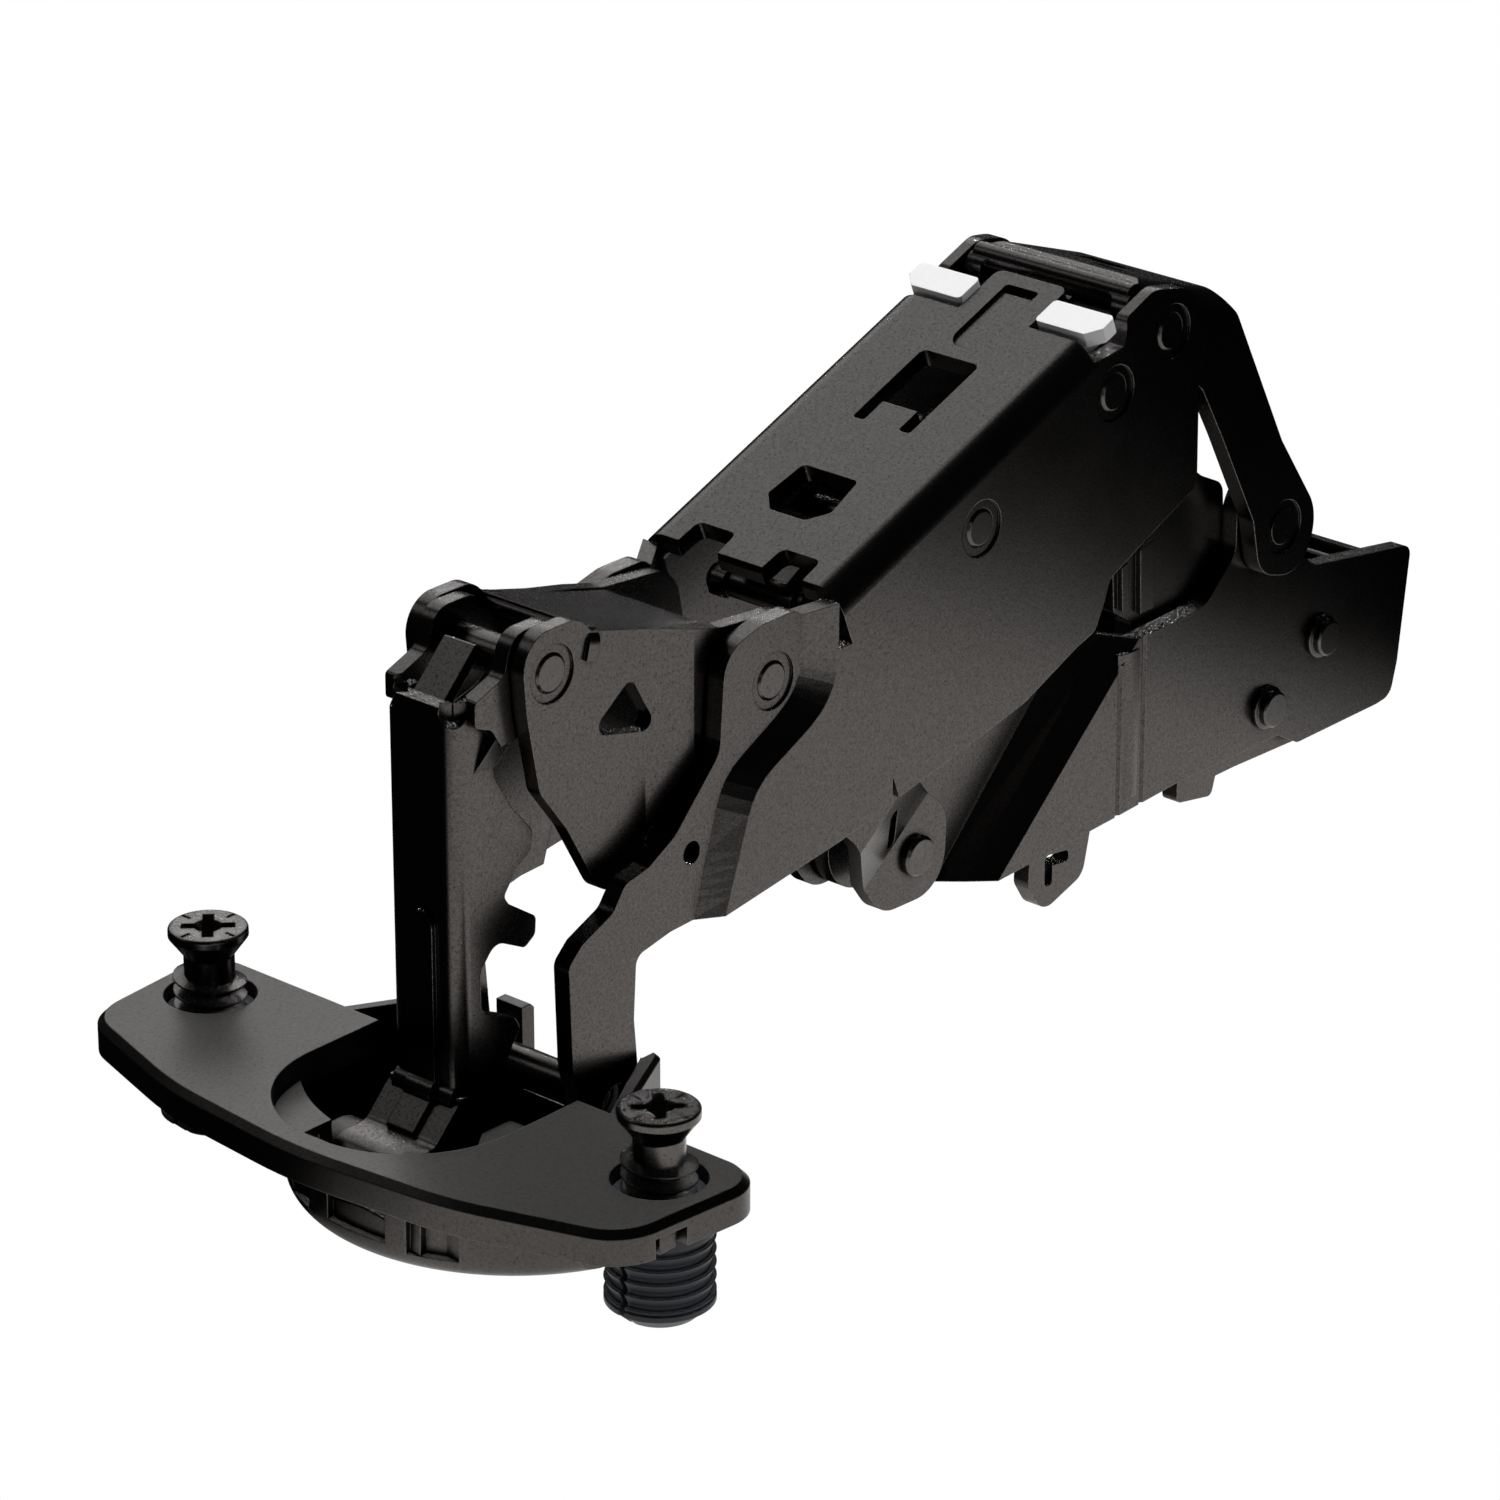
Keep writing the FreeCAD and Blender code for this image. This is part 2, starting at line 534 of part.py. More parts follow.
def long_sides():
    trough = channel(LONG_OUT, SHEET, 2.1, 46, 44, (33.6, 30.1 + 0.7 * 0.388), WEB_SLOPE)
    trough = trough.fuse(both(box(15, 40, EAR_OUT, LONG_OUT, 0, 26)))
    edge_main = eased(EDGE_MAIN, 2.2)
    edge_ear = eased(EDGE_EAR, 2.2)
    line = edge_main[1:-1]
    main = plate(LONG_SIDE + line, -LONG_OUT, LONG_OUT)
    main = main.common(trough)
    ear = list(edge_ear)
    ear += [(30.6, 29.6, 1.5), (27.2, 29.6, 3.0), (23.0, 28.6, 3.6), (22.4, 21.0, 2.5), (17.5, 16.0, 3),
            (14.7, 14.5),
            (12.2, 14.0, 1), (10.9, 12.2, 1.5), (7.6, 10.8, 1), (6.2, 9.5, 1), (6.5, 1.0, 2),
            (8.5, -5.9, 2.6),
            (13.8, -5.9, 2.6), (13.0, 3.0, 2), (13.3, 7.9, 1.0), (17.0, 8.6, 1)]
    side = plate(ear, EAR_OUT - SHEET, EAR_OUT)
    band_ear = edge_ear
    band_main = edge_main[:-1] + [(33.8, 29.6)]
    band = step_band(band_ear, EAR_OUT, band_main, LONG_OUT, SHEET)
    return main.fuse(both(side.fuse(band)))


def web_openings():
    """Windows, front notches and rear tab of the long lever's top web."""
    deep = 3.2
    front = slab([(6.6, -1.7, 0.5), (6.6, 1.7, 0.5), (8.1, 3.1, 0.5), (11.9, 2.7, 0.5), (11.9, -2.7, 0.5),
                  (8.1, -3.1, 0.5)],
                 -deep, 2)
    rear = slab([(20.4, -1.7), (20.4, 1.7), (18.0, 1.7, 0.3), (18.0, 2.8, 0.3), (26.8, 2.8, 0.6),
                 (26.8, -2.8, 0.6),
                 (18.0, -2.8, 0.3), (18.0, -1.7, 0.3)], -deep, 2)
    notch = both(slab([(-1, 2.1), (3.3, 2.3, 0.6), (3.3, 6.0, 0.6), (-1, 6.2)], -deep, 2))
    tail = both(slab([(32.4, 3.5, 0.4), (50, 3.5), (50, 8.25), (32.4, 8.25)], -6.5, 4))
    end = slab([(37.3, -8.2), (50, -8.2), (50, 8.2), (37.3, 8.2)], -6.5, 4)
    dish = slab([(28.0, -1.6, 1.55), (35.9, -1.6, 1.0), (35.9, 1.6, 1.0), (28.0, 1.6, 1.55)], -0.3, 2)
    slit = slab([(35.2, -1.6), (35.9, -1.6, 0.6), (35.9, 1.6, 0.6), (35.2, 1.6)], -deep, 2)
    tool = front.fuse([rear, notch, tail, end, dish, slit])
    return on_web(tool)


def long_lever():
    body = long_sides()
    tab = slab([(30.0, -3.45), (37.2, -3.45, 0.8), (37.2, 3.45, 0.8), (30.0, 3.45)], -SHEET, 0)
    body = body.fuse(on_web(tab))
    body = body.cut(web_openings())
    for p in (P6, P7, P8):
        body = body.cut(through(p, PIN_R + SEAT))
        body = body.cut(ring_mark(p, LONG_OUT))
    body = body.cut(through(P4, PIN_R + SEAT))
    body = body.cut(ring_mark(P4, EAR_OUT).common(box(20, 36, -8.3, 8.3, 15, 35)))
    body = body.cut(through(P2, CUP_PIN_R + 0.15))
    body = body.cut(through(MID_HOLE, 0.9))
    return body


def head_pin(p, half, head_r=PIN_R + 0.0, proud=0.0):
    """Plain pin whose ends are riveted flat to the ring's floor."""
    body = rod(p, PIN_R, -half, half)
    rings = [e for e in body.Edges if e.Closed]
    body = body.makeChamfer(0.2, rings)
    return body


def glide_pad(side):
    pad = slab([(32.6, 3.7, 0.4), (35.3, 3.7, 0.4), (35.3, 9.55, 0.5), (33.7, 9.55), (32.6, 8.5)], -0.9, 0.4)
    leg = slab([(32.9, 6.4), (35.1, 6.4), (35.1, 7.9), (32.9, 7.9)], -2.2, -0.5)
    pad = on_web(pad.fuse(leg))
    return pad if side > 0 else mirrored(pad)


def pressure_lever():
    """Closing lever hung on the spring pin, with rounded front noses."""
    cheek = plate([(47.0, 33.6, 2.4), (52.6, 34.0, 2.6), (52.8, 28.0, 2.8), (46.5, 27.9, 2.6),
                   (38.0, 26.8, 1.6),
                   (34.6, 26.0, 1.5), (34.8, 28.0, 1.2), (40.0, 30.9, 2)], 2.7, 4.0)
    nose = rod((36.3, 27.2), 1.15, -4.6, 4.6)
    bar = rod((45.4, 30.6), 1.0, -4.0, 4.0)
    body = both(cheek).fuse(nose).fuse(bar)
    return body.cut(through(P6, PIN_R + SEAT))


def spring_rod():
    """Rod with a ball end that ties the closing lever to the guide pin."""
    a = V(53.6, 0, 34.6)
    b = V(P7[0], 0, P7[1] + 0.0)
    axis = b - a
    body = Part.makeCylinder(0.95, axis.Length - PIN_R - 0.02, a, axis)
    body = body.fuse(Part.makeSphere(1.75, a))
    eye = rod(P7, 2.7, -1.6, 1.6).cut(through(P7, PIN_R + SEAT))
    return body.fuse(eye).cut(through(P7, PIN_R + SEAT))


def torsion_spring(side):
    """Close-wound spring coils on the spring pin, with one leg to the web."""
    wire = 0.4
    turns = 2
    body = None
    for k in range(turns):
        y = side * (4.7 + k * 2 * (wire + 0.02))
        ring = Part.makeTorus(PIN_R + wire + 0.08, wire, V(P6[0], y, P6[1]), V(0, 1, 0))
        body = ring if body is None else body.fuse(ring)
    tie = box(P6[0] - 0.3, P6[0] + 0.3, min(side * 4.7, side * 5.8), max(side * 4.7, side * 5.8),
              P6[1] + PIN_R + 0.3, P6[1] + PIN_R + 0.9)
    leg = Part.makeCylinder(wire, 9.0, V(P6[0], side * 5.8, P6[1] + PIN_R + wire + 0.08), V(0.93, 0, 0.36))
    return body.fuse(tie).fuse(leg)


# Rear link: short wide trough from the long lever to the base

def rear_link():
    side = [(68.9, 43.4, 1.2), (72.0, 44.0, 1), (76.4, 42.6, 1), (80.7, 41.2, 1.5), (83.0, 38.6, 2),
            (89.4, 26.2),
            (94.6, 18.6, 4.0), (92.4, 13.9, 3.6), (87.0, 15.4, 3.0), (86.0, 20.3, 1), (81.6, 28.6, 1),
            (78.9, 33.3, 1), (75.4, 36.6, 3),
            (69.4, 36.9, 3.0)]
    block = plate(side, -LINK_OUT, LINK_OUT)
    trough = channel(LINK_OUT, SHEET, 1.9, 60, 60, (60.0, 48.3), -19.5)
    body = block.common(trough)
    cutaway = box(83.2, 120, -(LINK_OUT - SHEET), LINK_OUT - SHEET, -10, 60)
    body = body.cut(cutaway)
    roll = rod((70.4, 43.2), 0.95, -LINK_OUT + 0.3, LINK_OUT - 0.3)
    body = body.fuse(roll)
    slot = box(73.8, 75.4, -3.6, -0.6, 30, 60).fuse(box(76.4, 79.2, -1.2, 3.4, 30, 60))
    body = body.cut(slot)
    body = body.cut(through(P8, PIN_R + RUN))
    body = body.cut(through(P9, PIN_R + SEAT))
    body = body.cut(ring_mark(P9, LINK_OUT))
    return body


def link_stub(side):
    y0, y1 = LINK_OUT - SHEET, LINK_OUT - 0.05
    body = rod(P9, PIN_R, y0, y1)
    return body if side > 0 else mirrored(body)


# Base arm: outer riveted plates, nose, inner clip channel

def base_plates():
    a = [(53.4, -1.5), (67.4, 12.3), (69.8, 15.0)]
    m = [(55.0, -1.5), (69.4, 12.0), (71.6, 14.0)]
    b = [(56.8, -1.5), (71.2, 11.4), (73.8, 13.6)]
    mid = 0.5 * (NOSE_OUT + BASE_OUT)
    band = step_band(a, NOSE_OUT, m, mid, SHEET).fuse(step_band(m, mid, b, BASE_OUT, SHEET))
    nose = plate([(53.4, -1.5), (67.4, 12.3), (69.8, 15.0), (66.0, 16.2, 1.5), (57.5, 13.0, 4),
                  (50.0, 6.9, 3),
                  (45.2, 6.7, 3.8), (45.2, -1.4, 3.9)], NOSE_OUT - SHEET, NOSE_OUT)
    wing = [(56.8, -1.5), (71.2, 11.4), (73.8, 13.6), (82.2, 13.8, 3), (86.0, 17.2, 2), (86.0, 23.0, 3.4),
            (93.8, 23.0, 3.6), (94.2, 14.9, 2), (96.6, 13.0, 1.5), (109.9, 10.9, 1), (108.6, 1.0, 2),
            (107.8, -1.9, 1.6),
            (105.9, -2.1), (95.1, -2.1, 1), (92.4, -0.6, 1), (79.5, -0.5), (71.5, -0.9)]
    side = plate(wing, BASE_OUT - SHEET, BASE_OUT)
    # Upright bead with a crease along each side.
    barrel = Part.makeCylinder(3.5, 12.6, V(73.0, BASE_OUT - 3.38, 0.2))
    bead = barrel.common(box(71.5, 74.5, BASE_OUT - 0.5, BASE_OUT + 1, -5, 20))
    side = band.fuse(nose).fuse(side).fuse(bead)
    for x in (71.5, 74.5):
        side = side.cut(Part.makeCylinder(0.3, 20, V(x, BASE_OUT + 0.12, -3)))
    return side


def base_arm():
    body = both(base_plates())
    back = plate([(108.3, -1.7), (109.6, 9.6, 1.0), (108.0, 9.9), (106.8, -1.7)],
                 -BASE_OUT + 0.3, BASE_OUT - 0.3)
    body = body.fuse(back)
    bridge = plate([(54.6, -1.0, 0.5), (62.0, 6.4), (61.0, 7.4), (53.6, 0.2, 0.5)],
                   -NOSE_OUT + 0.5, NOSE_OUT - 0.5)
    body = body.fuse(bridge)
    body = body.cut(through(P10, PIN_R + RUN))
    for p in (RIVET_A, RIVET_B):
        body = body.cut(through(p, PIN_R + SEAT))
    body = body.cut(through(P9, PIN_R + 0.2))
    return body


def base_channel():
    side = [(64.0, -1.0), (72.0, 0.6), (74.6, 12.4, 1), (74.5, 14.4, 0.5), (72.4, 15.8, 0.6),
            (72.2, 19.0, 1), (74.8, 25.6, 1.6), (79.8, 26.8, 1.6),
            (83.2, 24.2, 1.6), (86.0, 22.8, 1.5), (86.6, 14.0, 2), (96.0, 9.6, 2), (106.2, 8.4, 1),
            (106.4, -3.2, 1.5), (88.6, -2.6, 1),
            (86.2, -2.6), (85.7, -4.2, 0.6), (81.2, -3.4, 0.6), (81.2, -1.4), (70.2, -1.4),
            (69.2, -5.6, 1.6), (64.2, -7.2, 1.8), (62.4, -4.4, 1.2), (62.6, -1.2, 0.6)]
    groove = plate([(64.4, -2.4, 0.5), (67.4, -2.8, 0.5), (67.4, -3.8, 0.5), (65.4, -3.5),
                    (65.4, -5.2, 0.4), (64.4, -5.0, 0.4)], 0, 20)
    leg = plate(side, INNER_OUT - SHEET, INNER_OUT).cut(groove)
    rib = plate([(72.9, 15.9), (72.7, 19.6), (73.5, 19.8), (73.7, 15.9)], INNER_OUT, INNER_OUT + 0.5)
    rib = rib.fuse(plate([(75.2, 15.0), (75.0, 20.4), (76.7, 20.8), (76.9, 15.0)],
                         INNER_OUT, INNER_OUT + 0.5))
    floor = plate([(76.0, 2.6), (105.0, 3.4), (105.0, 4.9), (76.0, 4.1)], -INNER_OUT + 0.4, INNER_OUT - 0.4)
    body = both(leg.fuse(rib)).fuse(floor)
    for p in (RIVET_A, RIVET_B):
        body = body.cut(through(p, PIN_R + SEAT))
    slot = slab([(96.5, -1.6, 1.5), (103.0, -1.6, 1.5), (103.0, 1.6, 1.5), (96.5, 1.6, 1.5)], 0, 8)
    return body.cut(slot)


def base_rivet(p):
    half = BASE_OUT
    shank = rod(p, PIN_R, -half, half)
    pts = [(0, 0), (PIN_R + 0.3, 0), (PIN_R + 0.3, 0.35), (PIN_R, 0.45), (PIN_R, 1.0),
           (PIN_R - 0.15, 1.15), (0, 1.15)]
    head = Part.Face(outline([(a, b) for a, b, *c in pts], "xy")).revolve(V(0, 0, 0), V(0, 1, 0), 360)
    head.translate(V(p[0], half, p[1]))
    return shank.fuse(head).fuse(mirrored(head))


def nose_pin():
    half = CROSS_REAR
    shank = rod(P10, PIN_R, -half, half)
    head = rod(P10, PIN_R + 0.15, half, half + 0.7)
    rim = [e for e in head.Edges if e.Closed and abs(e.CenterOfMass.y - half - 0.7) < 1e-3]
    head = head.makeChamfer(0.25, rim)
    return shank.fuse(both(head))


def stop_tab():
    """Upright steel tab clamped between the base's nose plates."""
    return plate([(64.4, 9.0), (69.4, 9.4), (69.6, 18.0, 1), (65.6, 19.4, 1)],
                 -NOSE_OUT + SHEET + 0.02, NOSE_OUT - SHEET - 0.02)


def spring_clip():
    """Thin release lever at the back of the base channel."""
    half = INNER_OUT - SHEET - 0.1
    pts = [(99.6, 4.9), (105.0, 5.1, 0.8), (106.2, 9.4, 1.0), (105.2, 10.4, 0.6), (104.4, 6.6, 0.8),
           (99.6, 5.9)]
    return plate(pts, -half, half)


def main():
    os.makedirs("parts", exist_ok=True)
    made = {}
    def keep(name, shape):
        made[name] = finish(shape, name)
    keep("hinge_cup", hinge_cup())
    keep("cup_front_pin", cup_pin(P1, 5.6))
    keep("cup_rear_pin", cup_pin(P2, REAR_PIN_HALF))
    for side, word in ((-1, "right"), (1, "left")):
        keep("dowel_" + word, dowel(side))
        keep("flange_screw_" + word, flange_screw(side))
        keep("glide_pad_" + word, glide_pad(side))
        keep("closing_spring_" + word, torsion_spring(side))
        keep("link_stub_" + word, link_stub(side))
    keep("front_lever", front_lever())
    keep("crossing_lever", crossing_lever())
    keep("front_pivot_pin", head_pin(P3, CROSS_FRONT - 0.02))
    keep("long_lever", long_lever())
    keep("crossing_pin", head_pin(P4, EAR_OUT - 0.03))
    keep("spring_pin", head_pin(P6, LONG_OUT - 0.02))
    keep("guide_pin", head_pin(P7, LONG_OUT - 0.02))
    keep("link_pin", head_pin(P8, LONG_OUT - 0.02))
    keep("pressure_lever", pressure_lever())
    keep("spring_rod", spring_rod())
    keep("rear_link", rear_link())
    keep("base_arm", base_arm())
    keep("base_channel", base_channel())
    keep("base_rivet_rear", base_rivet(RIVET_A))
    keep("base_rivet_front", base_rivet(RIVET_B))
    keep("nose_pin", nose_pin())
    keep("stop_tab", stop_tab())
    keep("release_clip", spring_clip())


main()
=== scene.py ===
import math

import bpy
from mathutils import Matrix, Vector


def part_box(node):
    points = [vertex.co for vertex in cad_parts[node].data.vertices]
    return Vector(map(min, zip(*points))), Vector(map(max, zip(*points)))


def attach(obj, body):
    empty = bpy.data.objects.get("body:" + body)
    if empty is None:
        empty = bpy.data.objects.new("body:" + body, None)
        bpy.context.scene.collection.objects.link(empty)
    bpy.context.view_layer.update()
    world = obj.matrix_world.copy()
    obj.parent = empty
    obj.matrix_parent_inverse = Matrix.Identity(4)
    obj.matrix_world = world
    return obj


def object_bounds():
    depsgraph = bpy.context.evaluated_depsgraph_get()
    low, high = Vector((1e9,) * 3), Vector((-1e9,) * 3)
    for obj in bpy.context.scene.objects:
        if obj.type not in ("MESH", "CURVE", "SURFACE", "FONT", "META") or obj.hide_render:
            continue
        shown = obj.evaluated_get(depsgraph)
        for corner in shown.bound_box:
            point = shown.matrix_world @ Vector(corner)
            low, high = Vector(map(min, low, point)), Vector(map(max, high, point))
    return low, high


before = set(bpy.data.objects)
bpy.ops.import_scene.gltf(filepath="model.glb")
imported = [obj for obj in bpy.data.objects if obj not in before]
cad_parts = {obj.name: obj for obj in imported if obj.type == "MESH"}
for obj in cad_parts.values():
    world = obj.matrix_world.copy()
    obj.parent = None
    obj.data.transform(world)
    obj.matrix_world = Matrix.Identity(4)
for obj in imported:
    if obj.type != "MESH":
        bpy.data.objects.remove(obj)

cad_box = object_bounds()
mm = 0.001


# Camera: a long lens in front of the cup, on the side that the photograph
# shows, looking down by 23 degrees. Lengths are metres, or mm where named so.
lens_place = (-0.30697, -0.29484, 0.20887)
lens_right = Vector((0.6636, -0.7481, 0.0))
lens_up = Vector((0.2960, 0.2626, 0.9184))
lens_forward = Vector((0.6870, 0.6094, -0.3957))

photo_lens = bpy.data.cameras.new("photo_lens")
photo_lens.sensor_width = 36.0
photo_lens.lens = 155.24
photo_camera = bpy.data.objects.new("photo_camera", photo_lens)
aim = Matrix((lens_right, lens_up, -lens_forward)).transposed().to_4x4()
aim.translation = lens_place
photo_camera.matrix_world = aim
bpy.context.scene.collection.objects.link(photo_camera)
bpy.context.scene.camera = photo_camera


# Hinge cup: one zinc die casting with a black electroplated coat. The flat
# flange is screwed to the door and the bowl drops into its round bore.
class Wire:
    """One socket in a finish. Sums on it add the Math nodes they need."""

    def __init__(self, tree, socket=None):
        self.tree = tree
        self.socket = socket

    def node(self, kind, settings=None, inputs=None, out=0):
        """Any node: its settings go first, then the values or links of its sockets."""
        made = self.tree.nodes.new(kind)
        for name, value in (settings or {}).items():
            setattr(made, name, value)
        for name, value in (inputs or {}).items():
            if isinstance(value, Wire):
                self.tree.links.new(value.socket, made.inputs[name])
            else:
                made.inputs[name].default_value = value
        return Wire(self.tree, made.outputs[out] if made.outputs else None)

    def sum(self, operation, a, b):
        return self.node("ShaderNodeMath", {"operation": operation}, {0: a, 1: b})

    def __add__(self, other):
        return self.sum("ADD", self, other)

    def __radd__(self, other):
        return self.sum("ADD", other, self)

    def __sub__(self, other):
        return self.sum("SUBTRACT", self, other)

    def __rsub__(self, other):
        return self.sum("SUBTRACT", other, self)

    def __mul__(self, other):
        return self.sum("MULTIPLY", self, other)

    def __rmul__(self, other):
        return self.sum("MULTIPLY", other, self)

    def held(self):
        """The value kept between nought and one."""
        return self.node("ShaderNodeClamp", None, {"Value": self})


def finish(name):
    """An empty finish, with its surface coordinates in metres."""
    material = bpy.data.materials.new(name)
    material.use_nodes = True
    material.node_tree.nodes.clear()
    start = Wire(material.node_tree)
    place = start.node("ShaderNodeTexCoord", out="Object")
    return material, start, place


def speckle(start, place, size_mm, detail=2.0):
    """Soft noise round one half, with lumps of about the size given."""
    fineness = 0.6
    return start.node("ShaderNodeTexNoise", None, {
        "Vector": place, "Scale": 1.0 / (size_mm * mm), "Detail": detail, "Roughness": fineness})


def edge_highlight_mask(start, reach_mm):
    """Mask of the outer edges, from how far the surface turns within reach, for painted edge
    highlights.
    """
    turn_gain = 3.0
    rounded = start.node("ShaderNodeBevel", {"samples": 6}, {"Radius": reach_mm * mm})
    plain = start.node("ShaderNodeNewGeometry", out="Normal")
    same = start.node("ShaderNodeVectorMath", {"operation": "DOT_PRODUCT"},
                      {0: rounded, 1: plain}, out="Value")
    return ((1.0 - same) * turn_gain).held(), rounded


def painted_corner_shade(start, reach_mm):
    """Mask of the tight inner corners and crevices, for painted shade there."""
    shade_gain, shade_floor = 2.0, 0.15
    open_air = start.node("ShaderNodeAmbientOcclusion", {"samples": 6},
                          {"Distance": reach_mm * mm}, out="AO")
    return ((1.0 - open_air) * shade_gain - shade_floor).held()


def opaque(colour, gain=1.0):
    """The colour with its alpha, made darker or brighter by the gain."""
    return (*(gain * part for part in colour), 1.0)


def blend_colour(start, factor, a, b):
    """Colour a where the factor is nought, and b where it is one."""
    factor_in, colour_a, colour_b, colour_out = 0, 6, 7, 2
    return start.node("ShaderNodeMix", {"data_type": "RGBA"},
                      {factor_in: factor, colour_a: a, colour_b: b}, out=colour_out)


def relief(start, height, depth_mm, strength, normal):
    """Bumps as deep as given, laid over the rounded edges."""
    return start.node("ShaderNodeBump", None, {
        "Strength": strength, "Distance": depth_mm * mm, "Height": height, "Normal": normal})


def black_coat(name, dark, light, rough, grain_mm, grain_depth_mm, edge_mm, edge_highlight_gain=0.9):
    """Black coat on steel or zinc: fine grain, faint blotches, painted highlights on the edges,
    painted shade in tight corners.
    """
    fine_share, coarse_share, coarse_times = 0.65, 0.35, 2.2
    tone_level, tone_gain = 0.34, 2.4
    blotch_mm, blotch_gain, blotch_rough = 14.0, 0.25, 0.12
    pit_level, pit_gain, pit_dark, pit_show, pit_rough = 0.42, 9.0, 0.45, 0.3, 0.15
    highlight_level, highlight_gain, highlight_bright, highlight_smooth = 0.25, 2.0, 2.4, 0.08
    corner_mm, corner_shade_dark, corner_show = 0.7, 0.10, 0.9
    bump_strength, specular, middle = 0.55, 0.4, 0.5
    material, start, place = finish(name)
    fine = speckle(start, place, grain_mm)
    coarse = speckle(start, place, grain_mm * coarse_times, 1.0)
    cloud = speckle(start, place, blotch_mm, 3.0)
    edge, rounded = edge_highlight_mask(start, edge_mm)
    grain = fine_share * fine + coarse_share * coarse
    pits = ((pit_level - grain) * pit_gain).held()
    tone = ((grain - tone_level) * tone_gain + (cloud - middle) * blotch_gain).held()
    # Painted highlight on the outer edges, broken up by the coarse grain.
    edge_highlight = (edge * ((coarse - highlight_level) * highlight_gain).held() * edge_highlight_gain).held()
    # Painted shade in tight corners and crevices, from ambient occlusion.
    corner = painted_corner_shade(start, corner_mm)
    bare = blend_colour(start, tone, opaque(dark), opaque(light))
    bare = blend_colour(start, pits * pit_show, bare, opaque(dark, pit_dark))
    # Edges lightened: painted highlight.
    bare = blend_colour(start, edge_highlight, bare, opaque(light, highlight_bright))
    # Corners darkened: painted shade.
    bare = blend_colour(start, corner * corner_show, bare, opaque(dark, corner_shade_dark))
    gloss = rough + (cloud - middle) * blotch_rough + pits * pit_rough - edge_highlight * highlight_smooth
    surface = start.node("ShaderNodeBsdfPrincipled", None, {
        "Base Color": bare,
        "Metallic": 1.0,
        "Roughness": gloss,
        "Normal": relief(start, grain, grain_depth_mm, bump_strength, rounded),
        "Specular IOR Level": specular})
    start.node("ShaderNodeOutputMaterial", None, {"Surface": surface})
    return material


def coat(material, *nodes):
    """Puts the finish on the pieces named."""
    for name in nodes:
        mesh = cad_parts[name].data
        mesh.materials.clear()
        mesh.materials.append(material)


cast_coat = black_coat("cast_zinc_black", dark=(0.062, 0.058, 0.055), light=(0.100, 0.095, 0.092),
                       rough=0.36, grain_mm=0.15, grain_depth_mm=0.016, edge_mm=0.14)
coat(cast_coat, "hinge_cup")


# Cup pins: two hardened steel pins pressed through the cheeks in the bowl,
# coated black and polished by the levers that turn on them.
pin_coat = black_coat("pin_steel_black", dark=(0.080, 0.076, 0.073), light=(0.120, 0.115, 0.111),
                      rough=0.24, grain_mm=0.22, grain_depth_mm=0.005, edge_mm=0.12)
coat(pin_coat, "cup_front_pin", "cup_rear_pin")


# Dowels: grey nylon plugs in the two screw holes, ringed with barbs and split
# along the middle so that the screw spreads them in the door.
def moulded_plastic(name, dark, light, rough, grain_mm, grain_depth_mm):
    """Moulded plastic: a soft grain, faint clouds and a painted highlight that makes the edges
    slightly paler.
    """
    cloud_mm, cloud_gain, cloud_rough, middle = 5.0, 0.6, 0.1, 0.5
    grain_level, grain_gain = 0.4, 0.9
    edge_mm, edge_highlight_gain = 0.12, 0.25
    bump_strength, specular = 0.5, 0.45
    material, start, place = finish(name)
    fine = speckle(start, place, grain_mm)
    cloud = speckle(start, place, cloud_mm, 3.0)
    edge, rounded = edge_highlight_mask(start, edge_mm)
    # Tone: grain and clouds, plus a painted highlight on the edges.
    tone = ((fine - grain_level) * grain_gain + cloud * cloud_gain + edge * edge_highlight_gain).held()
    surface = start.node("ShaderNodeBsdfPrincipled", None, {
        "Base Color": blend_colour(start, tone, opaque(dark), opaque(light)),
        "Roughness": rough + (cloud - middle) * cloud_rough,
        "Normal": relief(start, fine, grain_depth_mm, bump_strength, rounded),
        "Specular IOR Level": specular})
    start.node("ShaderNodeOutputMaterial", None, {"Surface": surface})
    return material


dowel_plastic = moulded_plastic("dowel_nylon_grey", dark=(0.019, 0.024, 0.033),
                                light=(0.033, 0.041, 0.055), rough=0.5, grain_mm=0.35,
                                grain_depth_mm=0.012)
coat(dowel_plastic, "dowel_left", "dowel_right")


# Flange screws: countersunk steel screws with cross recesses, backed out of
# their dowels as delivered. A coarse rolled thread runs up to a plain neck.
screw_coat = black_coat("screw_steel_black", dark=(0.085, 0.080, 0.077),
                        light=(0.130, 0.124, 0.120), rough=0.24, grain_mm=0.18,
                        grain_depth_mm=0.005, edge_mm=0.14, edge_highlight_gain=0.8)
coat(screw_coat, "flange_screw_left", "flange_screw_right")


